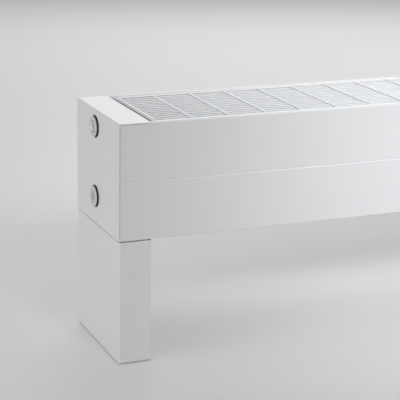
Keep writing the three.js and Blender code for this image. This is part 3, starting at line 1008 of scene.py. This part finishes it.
class HEATER_OT_casing_panels(bpy.types.Operator):
    """Fold the front and back panels, and press a line along each"""

    bl_idname = "heater.casing_panels"
    bl_label = "Casing panels"

    def execute(self, context):
        sizes = context.scene.heater_sizes
        panel = self.folded_sheet(sizes)
        cut_away(panel, self.line_cutter(sizes), *self.shelf_cutters(sizes))
        back = copy_piece(panel, "casing_back_panel")
        mirror_piece(back, 1, CASING_MIDDLE)
        soften(panel, sizes.edge_softness)
        soften(back, sizes.edge_softness)
        finish_piece(panel, casing_paint(), "casing_paint", "casing", "front_panel")
        finish_piece(back, casing_paint(), "casing_paint", "casing", "back_panel")
        return {"FINISHED"}

    def folded_sheet(self, sizes):
        """The front panel: a standing sheet with a hemmed fold along the top and one below."""
        low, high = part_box("front_panel")
        grille_gap = 0.7 * MM
        hem_drop = 6.5 * MM
        hem_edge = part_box("grille")[0].y - grille_gap
        middle = Vector(((low.x + high.x) / 2, low.y, (low.z + high.z) / 2))
        upright = (math.pi / 2, 0, 0)
        panel = add_flat("casing_front_panel", middle, high.x - low.x, high.z - low.z, upright)
        pick(panel, "EDGE", edge_at(z=high.z))
        extrude((0, hem_edge - low.y, 0))
        extrude((0, 0, -hem_drop))
        pick(panel, "EDGE", edge_at(z=low.z))
        extrude((0, high.y - low.y, 0))
        bevel_edges(panel, edge_at(y=low.y, z=high.z), sizes.fold_radius, FOLD_STEPS)
        bevel_edges(panel, edge_at(y=low.y, z=low.z), sizes.fold_radius, FOLD_STEPS)
        bevel_edges(panel, edge_at(y=hem_edge, z=high.z), sizes.fold_radius, steps=4)
        bpy.ops.object.mode_set(mode="OBJECT")
        thicken(panel, sizes.sheet)
        return panel

    def line_cutter(self, sizes):
        """A long rod with round ends, which leaves the pressed line when it is cut away."""
        rings = 11  # an odd number leaves no ring at the middle, where the ball is pulled apart
        depth = sizes.line_depth
        radius = (sizes.line_width**2 / 4 + depth**2) / (2 * depth)
        x_low = CASING_LOW.x + sizes.line_end + sizes.line_width / 2
        deselect_all()
        bpy.ops.mesh.primitive_uv_sphere_add(
            segments=48,
            ring_count=rings,
            radius=radius,
            location=(x_low, CASING_LOW.y + depth - radius, CASING_MIDDLE.z),
            rotation=(0, math.pi / 2, 0),
        )
        cutter = name_new("line_cutter")
        pick(cutter, "VERT", lambda vertex: vertex.co.x > x_low)
        bpy.ops.transform.translate(value=(2 * (CASING_MIDDLE.x - x_low), 0, 0))
        bpy.ops.object.mode_set(mode="OBJECT")
        return cutter

    def shelf_cutters(self, sizes):
        """Room at the panel's top corners for the flat tops of the end caps."""
        play = 0.3 * MM
        reach = 10 * MM
        front = CASING_LOW.y - OVERRUN
        rear = CASING_LOW.y + reach
        floor = CASING_HIGH.z - sizes.sheet - play
        top = CASING_HIGH.z + OVERRUN
        left_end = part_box("end_cap_left")[1].x + play
        right_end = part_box("end_cap_right")[0].x - play
        return (
            add_block("left_room", (CASING_LOW.x, front, floor), (left_end, rear, top)),
            add_block("right_room", (right_end, front, floor), (CASING_HIGH.x, rear, top)),
        )


class HEATER_OT_end_caps(bpy.types.Operator):
    """Fold the two end caps, with a round hole for each port"""

    bl_idname = "heater.end_caps"
    bl_label = "End caps"

    def execute(self, context):
        sizes = context.scene.heater_sizes
        low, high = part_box("end_cap_left")
        port_radius = 13.8 * MM
        through = 4 * MM
        middle = Vector((low.x, (low.y + high.y) / 2, (low.z + high.z) / 2))
        facing_left = (0, -math.pi / 2, 0)
        cap = add_flat("casing_end_cap_left", middle, high.z - low.z, high.y - low.y, facing_left)
        pick(cap, "EDGE", edge_at(z=high.z))
        extrude((high.x - low.x, 0, 0))
        bevel_edges(cap, edge_at(x=low.x, z=high.z), sizes.fold_radius, FOLD_STEPS)
        bpy.ops.object.mode_set(mode="OBJECT")
        thicken(cap, sizes.sheet)
        for socket in ("socket_lower_left", "socket_upper_left"):
            centre = round_node(socket)[2]
            start = low.x - OVERRUN
            hole = add_rod("hole_cutter", port_radius, start, low.x + through, centre, sides=96)
            cut_away(cap, hole)
        other = copy_piece(cap, "casing_end_cap_right")
        mirror_piece(other, 0, CASING_MIDDLE)
        soften(cap, sizes.edge_softness)
        soften(other, sizes.edge_softness)
        finish_piece(cap, casing_paint(), "casing_paint", "casing", "end_cap_left")
        finish_piece(other, casing_paint(), "casing_paint", "casing", "end_cap_right")
        return {"FINISHED"}


# ---- Grille -----------------------------------------------------------------

WELD = 0.4 * MM  # how far a rib's or a bar's end runs into the rim


def shift_end_ribs(ribs, sizes, low, high):
    """Move the first and last rib to the inner side of the end strips."""
    shift = sizes.strip_width / 2 - sizes.rib_width / 4
    for end_x, way in ((low.x, 1), (high.x, -1)):
        pick(ribs, "VERT", lambda vertex: abs(vertex.co.x - end_x) < sizes.strip_width)
        bpy.ops.transform.translate(value=(way * shift, 0, 0))
    bpy.ops.object.mode_set(mode="OBJECT")


class HEATER_OT_grille(bpy.types.Operator):
    """Build the lift-off grille: a rim, cross ribs and lengthwise bars"""

    bl_idname = "heater.grille"
    bl_label = "Grille"

    def execute(self, context):
        sizes = context.scene.heater_sizes
        rim = self.rim(sizes)
        finish_piece(rim, casing_paint(), "casing_paint", "grille", "grille")
        ribs = self.ribs(sizes)
        finish_piece(ribs, casing_paint(), "casing_paint", "grille")
        bars = self.bars(sizes)
        finish_piece(bars, casing_paint(), "casing_paint", "grille")
        return {"FINISHED"}

    def rim(self, sizes):
        """The flat border, with its outer edge turned down as a lip and its inner edge as a wall."""
        low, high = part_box("grille")
        rim_sheet = 1.2 * MM
        cut_edge = 0.45 * MM
        size = high - low
        centre = (low + high) / 2
        top = high.z - sizes.rib_rise
        rim = add_flat("grille_rim", Vector((centre.x, centre.y, top)), size.x, size.y)
        pick(rim, "FACE", lambda face: True)
        bpy.ops.mesh.inset(thickness=sizes.strip_width)
        inner_length = size.y - 2 * sizes.border_width
        factor = inner_length / (size.y - 2 * sizes.strip_width)
        bpy.ops.transform.resize(value=(1, factor, 1), center_override=centre)
        bpy.ops.mesh.delete(type="FACE")
        half = Vector((size.x / 2 - sizes.strip_width, inner_length / 2, 0))

        def on_inner_edge(edge):
            return all(
                abs(vertex.co.x - centre.x) < half.x + NEAR
                and abs(vertex.co.y - centre.y) < half.y + NEAR
                for vertex in edge.verts
            )

        def level(edge):
            return all(abs(vertex.co.z - top) < NEAR for vertex in edge.verts)

        def on_outer_edge(edge):
            """Open edges level with the top: those of the inner wall are lower by now."""
            return level(edge) and len(edge.link_faces) == 1

        def on_outer_fold(edge):
            """Edges between the flat top and the outer lip."""
            turned_down = any(abs(face.normal.z) < 0.1 for face in edge.link_faces)
            return level(edge) and turned_down and not on_inner_edge(edge)

        pick(rim, "EDGE", on_inner_edge)
        extrude((0, 0, -sizes.bar_height))
        pick(rim, "EDGE", on_outer_edge)
        extrude((0, 0, low.z - top))
        bevel_edges(rim, on_outer_fold, sizes.rim_radius, steps=5)
        bpy.ops.object.mode_set(mode="OBJECT")
        thicken(rim, rim_sheet)
        soften(rim, cut_edge, segments=3)
        return rim

    def ribs(self, sizes):
        """The cross ribs, which stand a little above the bars, with one on each end strip."""
        low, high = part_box("grille")
        pitch = (high.x - low.x - sizes.strip_width) / sizes.bay_count
        middle = low.x + sizes.strip_width / 2
        left = middle - sizes.rib_width / 2
        right = middle + sizes.rib_width / 2
        near = low.y + sizes.border_width - WELD
        far = high.y - sizes.border_width + WELD
        foot = high.z - sizes.rib_rise - sizes.bar_height / 2
        rounding = sizes.rib_width * 0.22
        rib = add_block("grille_ribs", (left, near, foot), (right, far, high.z))
        left_edge = edge_at(x=left, z=high.z)
        right_edge = edge_at(x=right, z=high.z)
        bevel_edges(rib, lambda edge: left_edge(edge) or right_edge(edge), rounding, steps=4)
        bpy.ops.object.mode_set(mode="OBJECT")
        repeat(rib, sizes.bay_count + 1, (pitch, 0, 0))
        shift_end_ribs(rib, sizes, low, high)
        soften(rib, 0)
        return rib

    def bars(self, sizes):
        """The lengthwise bars, which run under the ribs from end to end."""
        low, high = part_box("grille")
        inner = high.y - low.y - 2 * sizes.border_width
        pitch = (inner + sizes.bar_width) / (sizes.bar_count + 1)
        near = low.y + sizes.border_width + pitch - sizes.bar_width
        far = near + sizes.bar_width
        left = low.x + sizes.strip_width - WELD
        right = high.x - sizes.strip_width + WELD
        top = high.z - sizes.rib_rise
        rounding = 0.8 * MM
        bar = add_block("grille_bars", (left, near, top - sizes.bar_height), (right, far, top))
        near_edge = edge_at(y=near, z=top)
        far_edge = edge_at(y=far, z=top)
        bevel_edges(bar, lambda edge: near_edge(edge) or far_edge(edge), rounding, steps=4)
        bpy.ops.object.mode_set(mode="OBJECT")
        repeat(bar, sizes.bar_count, (0, pitch, 0))
        soften(bar, 0)
        return bar


# ---- Heat exchanger ---------------------------------------------------------


class HEATER_OT_fins(bpy.types.Operator):
    """Fold the three packs of convector fins"""

    bl_idname = "heater.fins"
    bl_label = "Convector fins"

    def execute(self, context):
        sizes = context.scene.heater_sizes
        for row in ("front", "middle", "rear"):
            pack = self.pack(sizes, row)
            finish_piece(pack, zinc_steel(), "zinc_steel", "casing", "fins_" + row)
        return {"FINISHED"}

    def pack(self, sizes, row):
        """One wave is folded from a standing strip, repeated along X, bent round and thickened."""
        low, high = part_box("fins_" + row)
        sheet = 0.6 * MM
        pitch = (high.x - low.x - sheet) / sizes.fin_waves
        near = low.y + sheet / 2
        far = high.y - sheet / 2
        bend = 2.2 * MM
        start = low.x + sheet / 2
        middle = Vector((start + pitch / 4, near, (low.z + high.z) / 2))
        upright = (math.pi / 2, 0, 0)
        pack = add_flat("convector_fins_" + row, middle, pitch / 2, high.z - low.z, upright)
        pick(pack, "EDGE", edge_at(x=start + pitch / 2))
        extrude((0, far - near, 0))
        extrude((pitch / 2, 0, 0))
        extrude((0, near - far, 0))
        bpy.ops.object.mode_set(mode="OBJECT")
        joined = {"use_merge_vertices": True, "merge_threshold": 0.05 * MM}
        repeat(pack, sizes.fin_waves, (pitch, 0, 0), **joined)

        def is_fold(edge):
            return stands_upright(edge) and len(edge.link_faces) == 2

        bevel_edges(pack, is_fold, bend, steps=3)
        bpy.ops.object.mode_set(mode="OBJECT")
        apply_modifier(pack, "SOLIDIFY", thickness=sheet, offset=0, use_even_offset=True)
        soften(pack, 0)
        return pack


class HEATER_OT_port_sockets(bpy.types.Operator):
    """Turn the two open port sockets at the right end, with their threads"""

    bl_idname = "heater.port_sockets"
    bl_label = "Port sockets"

    def execute(self, context):
        bare_steel = (0.5, 0.51, 0.52)
        for level in ("lower", "upper"):
            node = f"socket_{level}_right"
            centre = round_node(node)[2]
            socket = self.threaded_ring(f"port_socket_{level}", node)
            name = f"socket_steel_{level}"
            material = turned_metal(name, bare_steel, roughness=0.38, centre=centre)
            finish_piece(socket, material, "zinc_steel", "casing", node)
        return {"FINISHED"}

    def threaded_ring(self, name, node):
        """A wall section, notched along its bore for the thread and spun round the port's axis."""
        low, high, centre, radius = round_node(node)
        turns = 5
        thread_depth = 0.9 * MM
        wall = 2.5 * MM
        cut_edge = 0.2 * MM
        length = high.x - low.x
        z_bore = centre.z + radius - wall
        middle = Vector((centre.x, centre.y, z_bore + wall / 2))
        ring = add_flat(name, middle, length, wall, (math.pi / 2, 0, 0))
        pick(ring, "EDGE", edge_at(z=z_bore))
        bpy.ops.mesh.subdivide(number_cuts=2 * turns - 1)
        step = length / (2 * turns)

        def in_a_groove(vertex):
            place = (vertex.co.x - low.x) / step
            return abs(vertex.co.z - z_bore) < NEAR and round(place) % 2 == 1

        pick(ring, "VERT", in_a_groove)
        bpy.ops.transform.translate(value=(0, 0, thread_depth))
        bpy.ops.mesh.select_mode(type="EDGE")
        bpy.ops.mesh.select_all(action="SELECT")
        bpy.ops.mesh.delete(type="ONLY_FACE")
        bpy.ops.mesh.select_all(action="SELECT")
        bpy.ops.mesh.spin(steps=ROUND, angle=2 * math.pi, center=centre, axis=(1, 0, 0))
        bpy.ops.mesh.select_all(action="SELECT")
        bpy.ops.mesh.remove_doubles(threshold=0.01 * MM)
        bpy.ops.mesh.normals_make_consistent(inside=False)
        bpy.ops.object.mode_set(mode="OBJECT")
        soften(ring, cut_edge)
        return ring


# ---- Plugs ------------------------------------------------------------------


def plug_blank(name, node):
    """A turned plug: a round flange with a narrower shank that goes into the port."""
    low, high, centre, radius = round_node(node)
    radius -= 0.4 * MM  # the rubber behind it shows as a thin dark line
    flange = 1.2 * MM
    shank = 10.1 * MM
    plug = add_rod(name, radius, low.x, low.x + flange, centre)
    pick(plug, "FACE", face_at(low.x + flange))
    bpy.ops.mesh.inset(thickness=radius - shank)
    extrude((high.x - low.x - flange, 0, 0))
    return plug, low, centre, radius


def plug_nickel(name, centre):
    finishes = bpy.context.scene.heater_finishes
    return turned_metal(
        name, finishes.nickel_colour, roughness=0.36, centre=centre, metallic=0.6
    )


def seal_ring(name, node):
    """A rubber ring between a plug's flange and its socket."""
    low, high, centre, radius = round_node(node)
    bore = 10.4 * MM
    lip = 0.35 * MM
    ring = add_rod(name, radius, low.x, high.x, centre)
    hole = add_rod("seal_cutter", bore, low.x - OVERRUN, high.x + OVERRUN, centre)
    cut_away(ring, hole)
    soften(ring, lip, segments=3)
    finish_piece(ring, black_rubber(), "rubber", "casing", node)


class HEATER_OT_vent_plug(bpy.types.Operator):
    """Turn the vent plug, its seal, its turning nozzle and the bleed screw"""

    bl_idname = "heater.vent_plug"
    bl_label = "Vent plug"

    def execute(self, context):
        plug, low, centre, radius = plug_blank("vent_plug_body", "vent_plug")
        nozzle_room = 7.3 * MM
        nozzle_depth = 3.5 * MM
        screw_room = 3.0 * MM
        screw_depth = 5 * MM
        countersink = 1.1 * MM
        cut_edge = 0.35 * MM
        pick(plug, "FACE", face_at(low.x))
        bpy.ops.mesh.inset(thickness=radius - nozzle_room - countersink)
        bpy.ops.mesh.inset(thickness=countersink, depth=-countersink)
        extrude((nozzle_depth - countersink, 0, 0))
        bpy.ops.mesh.inset(thickness=nozzle_room - screw_room)
        extrude((screw_depth, 0, 0))
        bpy.ops.object.mode_set(mode="OBJECT")
        soften(plug, cut_edge, segments=3)
        material = plug_nickel("vent_nickel", centre)
        finish_piece(plug, material, "nickel", "casing", "vent_plug")
        seal_ring("vent_seal", "vent_plug_seal")
        self.nozzle()
        self.bleed_screw(context.scene.heater_finishes)
        return {"FINISHED"}

    def nozzle(self):
        """A plastic ring that turns in the plug, with a small spout to one side."""
        low, high, centre, radius = round_node("vent_nozzle")
        bore = 3 * MM
        spout_radius = 0.8 * MM
        spout_depth = 1.6 * MM
        spout_centre = centre - Vector((0, 0, 4.6 * MM))
        rounding = 0.5 * MM
        start = low.x - OVERRUN
        nozzle = add_rod("turning_nozzle", radius, low.x, high.x, centre)
        hole = add_rod("screw_cutter", bore, start, high.x + OVERRUN, centre, sides=48)
        end = low.x + spout_depth
        spout = add_rod("spout_cutter", spout_radius, start, end, spout_centre, sides=24)
        cut_away(nozzle, hole, spout)
        soften(nozzle, rounding, segments=3)
        finish_piece(nozzle, white_plastic(), "plastic", "vent_nozzle", "vent_nozzle")

    def bleed_screw(self, finishes):
        """A slotted screw in the nozzle's middle."""
        low, high, centre, radius = round_node("bleed_screw")
        slot_depth = 1 * MM
        cut_edge = 0.2 * MM
        screw = add_rod("slotted_bleed_screw", radius, low.x, high.x, centre, sides=48)
        cut_slot(screw, low.x - OVERRUN, low.x + slot_depth, centre, radius)
        soften(screw, cut_edge)
        colour = finishes.brass_colour
        material = turned_metal("bleed_brass", colour, roughness=0.32, centre=centre)
        finish_piece(screw, material, "brass", "bleed_screw", "bleed_screw")


class HEATER_OT_blind_plug(bpy.types.Operator):
    """Turn the blind plug, with its hexagon key socket, and its seal"""

    bl_idname = "heater.blind_plug"
    bl_label = "Blind plug"

    def execute(self, context):
        plug, low, centre, radius = plug_blank("blind_plug_body", "blind_plug")
        boss = 6.0 * MM
        groove = 1.3 * MM
        boss_rise = groove * 0.7
        key_radius = 4.9 * MM
        key_depth = 3.2 * MM
        cut_edge = 0.25 * MM
        pick(plug, "FACE", face_at(low.x))
        bpy.ops.mesh.inset(thickness=radius - boss - groove)
        extrude((groove, 0, 0))
        bpy.ops.mesh.inset(thickness=groove)
        extrude((-boss_rise, 0, 0))
        bpy.ops.object.mode_set(mode="OBJECT")
        key = add_rod("key_cutter", key_radius, low.x - OVERRUN, low.x + key_depth, centre, sides=6)
        cut_away(plug, key)
        soften(plug, cut_edge, segments=3)
        material = plug_nickel("blind_nickel", centre)
        finish_piece(plug, material, "nickel", "casing", "blind_plug")
        seal_ring("blind_seal", "blind_plug_seal")
        return {"FINISHED"}


# ---- Feet -------------------------------------------------------------------


class HEATER_OT_foot_covers(bpy.types.Operator):
    """Fold the two foot covers and set their screws"""

    bl_idname = "heater.foot_covers"
    bl_label = "Foot covers"

    def execute(self, context):
        sizes = context.scene.heater_sizes
        for end in ("left", "right"):
            self.cover(sizes, end)
            self.screw(end)
        return {"FINISHED"}

    def cover(self, sizes, end):
        """An open sleeve with rounded corners, and a narrow return at the front and rear of its top."""
        low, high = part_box("foot_cover_" + end)
        cover = add_block("sleeve_" + end, low, high)
        pick(cover, "FACE", lambda face: abs(face.normal.z) > 0.9)
        bpy.ops.mesh.delete(type="FACE")
        bevel_edges(cover, stands_upright, sizes.foot_radius, FOLD_STEPS)
        for y, inward in ((low.y, 1), (high.y, -1)):
            pick(cover, "EDGE", edge_at(y=y, z=high.z))
            extrude((0, inward * sizes.foot_return, 0))
        bpy.ops.object.mode_set(mode="OBJECT")
        thicken(cover, sizes.foot_sheet)
        hole_radius = 2.3 * MM
        screw_low, screw_high, centre, _ = round_node("cover_screw_" + end)
        hole = add_rod("screw_cutter", hole_radius, screw_low.x, screw_high.x, centre, sides=32)
        cut_away(cover, hole)
        soften(cover, sizes.edge_softness)
        finish_piece(cover, casing_paint(), "casing_paint", "casing", "foot_cover_" + end)

    def screw(self, end):
        """A slotted pan-head screw on the foot's inner side."""
        low, high, centre, radius = round_node("cover_screw_" + end)
        head = 1.4 * MM
        rounding = 0.3 * MM
        outward = 1 if end == "left" else -1
        face_x = high.x if end == "left" else low.x
        root_x = face_x - outward * head
        head_low, head_high = sorted((face_x, root_x))
        screw = add_rod("slotted_screw_" + end, radius, head_low, head_high, centre, sides=48)
        pick(screw, "FACE", face_at(root_x))
        bpy.ops.mesh.inset(thickness=radius / 2)
        extrude((-outward * (high.x - low.x - head), 0, 0))
        bpy.ops.object.mode_set(mode="OBJECT")
        slot_low, slot_high = sorted((face_x - outward * head / 2, face_x + outward * OVERRUN))
        cut_slot(screw, slot_low, slot_high, centre, radius)
        soften(screw, rounding, segments=3)
        finish_piece(screw, zinc_steel(), "zinc_steel", "casing", "cover_screw_" + end)


class HEATER_OT_inner_parts(bpy.types.Operator):
    """Finish the parts inside the casing and the feet that keep their own shape"""

    bl_idname = "heater.inner_parts"
    bl_label = "Inner parts"

    def execute(self, context):
        makers = {
            "inner_paint": inner_paint,
            "zinc_steel": zinc_steel,
            "rubber": black_rubber,
            "plastic": white_plastic,
        }
        slots = {part["node"]: part["material_slot"] for part in frame["record"]["subparts"]}
        for name, node in frame["nodes"].items():
            if node.hide_render:
                continue
            material = makers[slots[name]]()
            if not node.data.materials:
                node.data.materials.append(material)
            for slot in node.material_slots:
                slot.material = material
        return {"FINISHED"}


# ---- Stage ------------------------------------------------------------------


class HEATER_OT_stage(bpy.types.Operator):
    """Set the floor, the soft lights and the camera"""

    bl_idname = "heater.stage"
    bl_label = "Stage"

    def execute(self, context):
        stage = context.scene.heater_stage
        self.floor(stage)
        self.lights(context, stage)
        self.camera(context, stage)
        return {"FINISHED"}

    def floor(self, stage):
        """A wide disc, a hair below the pads so that the two don't touch."""
        level = (0, 0, -0.05 * MM)
        deselect_all()
        bpy.ops.mesh.primitive_circle_add(vertices=96, radius=30, fill_type="NGON", location=level)
        floor = name_new("floor")
        floor.data.materials.append(floor_paint("floor_paint", stage.floor_colour))

    def lights(self, context, stage):
        """An even sky, and one soft light on each of the four sides."""
        world = bpy.data.worlds.new("studio")
        context.scene.world = world
        world.use_nodes = True
        background = world.node_tree.nodes["Background"]
        background.inputs["Color"].default_value = (1, 1, 1, 1)
        background.inputs["Strength"].default_value = stage.sky
        power = stage.front_light
        front = self.area("front_light", power, (0.33, -1.38, 1.12), 1.44, 0.5, aside=0.33)
        front.spread = math.radians(28)
        self.area("left_light", stage.left_light, (-2.0, -0.3, 0.7), 1.0, 1.0)
        self.area("right_light", stage.right_light, (2.4, -0.3, 0.9), 1.2, 1.2)
        self.area("back_light", stage.back_light, (0.8, 2.2, 1.4), 2.0, 1.4, aside=0.1)

    def area(self, name, power, place, width, height, aside=0):
        """A rectangular light aimed at the casing's middle, or a little aside of it along X."""
        deselect_all()
        bpy.ops.object.light_add(type="AREA", location=place)
        light = bpy.context.object
        light.name = name
        light.data.energy = power
        light.data.shape = "RECTANGLE"
        light.data.size = width
        light.data.size_y = height
        aim = CASING_MIDDLE + Vector((aside, 0, 0)) - Vector(place)
        light.rotation_euler = aim.to_track_quat("-Z", "Y").to_euler()
        return light.data

    def camera(self, context, stage):
        deselect_all()
        bpy.ops.object.camera_add()
        camera = bpy.context.object
        camera.name = "camera"
        camera.data.lens = stage.focal_length
        camera.data.sensor_width = 36
        camera.data.clip_start = 0.05
        corner = Vector((CASING_LOW.x, CASING_LOW.y, 0))
        camera.matrix_world = (
            Matrix.Translation(corner + Vector(stage.camera_place))
            @ Matrix.Rotation(-stage.camera_turn, 4, "Z")
            @ Matrix.Rotation(math.pi / 2 - stage.camera_dip, 4, "X")
            @ Matrix.Rotation(stage.camera_roll, 4, "Z")
        )
        context.scene.camera = camera
        context.scene.view_settings.view_transform = "Standard"


# ---- Panel and registration -------------------------------------------------

OPERATORS = (
    HEATER_OT_casing_panels,
    HEATER_OT_end_caps,
    HEATER_OT_grille,
    HEATER_OT_fins,
    HEATER_OT_port_sockets,
    HEATER_OT_vent_plug,
    HEATER_OT_blind_plug,
    HEATER_OT_foot_covers,
    HEATER_OT_inner_parts,
    HEATER_OT_stage,
)


class HEATER_PT_sidebar(bpy.types.Panel):
    """Lists the heater's operators, sizes and finishes"""

    bl_idname = "HEATER_PT_sidebar"
    bl_label = "Low convector heater"
    bl_space_type = "VIEW_3D"
    bl_region_type = "UI"
    bl_category = "Heater"

    def draw(self, context):
        column = self.layout.column()
        for operator in OPERATORS:
            column.operator(operator.bl_idname)
        for group in ("heater_sizes", "heater_finishes", "heater_stage"):
            settings = getattr(context.scene, group)
            box = self.layout.box()
            for key in settings.bl_rna.properties.keys():
                if key not in ("rna_type", "name"):
                    box.prop(settings, key)


CLASSES = (HeaterSizes, HeaterFinishes, HeaterStage, *OPERATORS, HEATER_PT_sidebar)


def register():
    for cls in CLASSES:
        bpy.utils.register_class(cls)
    bpy.types.Scene.heater_sizes = bpy.props.PointerProperty(type=HeaterSizes)
    bpy.types.Scene.heater_finishes = bpy.props.PointerProperty(type=HeaterFinishes)
    bpy.types.Scene.heater_stage = bpy.props.PointerProperty(type=HeaterStage)


def unregister():
    del bpy.types.Scene.heater_stage
    del bpy.types.Scene.heater_finishes
    del bpy.types.Scene.heater_sizes
    for cls in reversed(CLASSES):
        bpy.utils.unregister_class(cls)


def main():
    register()
    bpy.ops.heater.stage()
    bpy.ops.heater.casing_panels()
    bpy.ops.heater.end_caps()
    bpy.ops.heater.grille()
    bpy.ops.heater.fins()
    bpy.ops.heater.port_sockets()
    bpy.ops.heater.vent_plug()
    bpy.ops.heater.blind_plug()
    bpy.ops.heater.foot_covers()
    bpy.ops.heater.inner_parts()
    deselect_all()


if __name__ == "__main__":
    main()
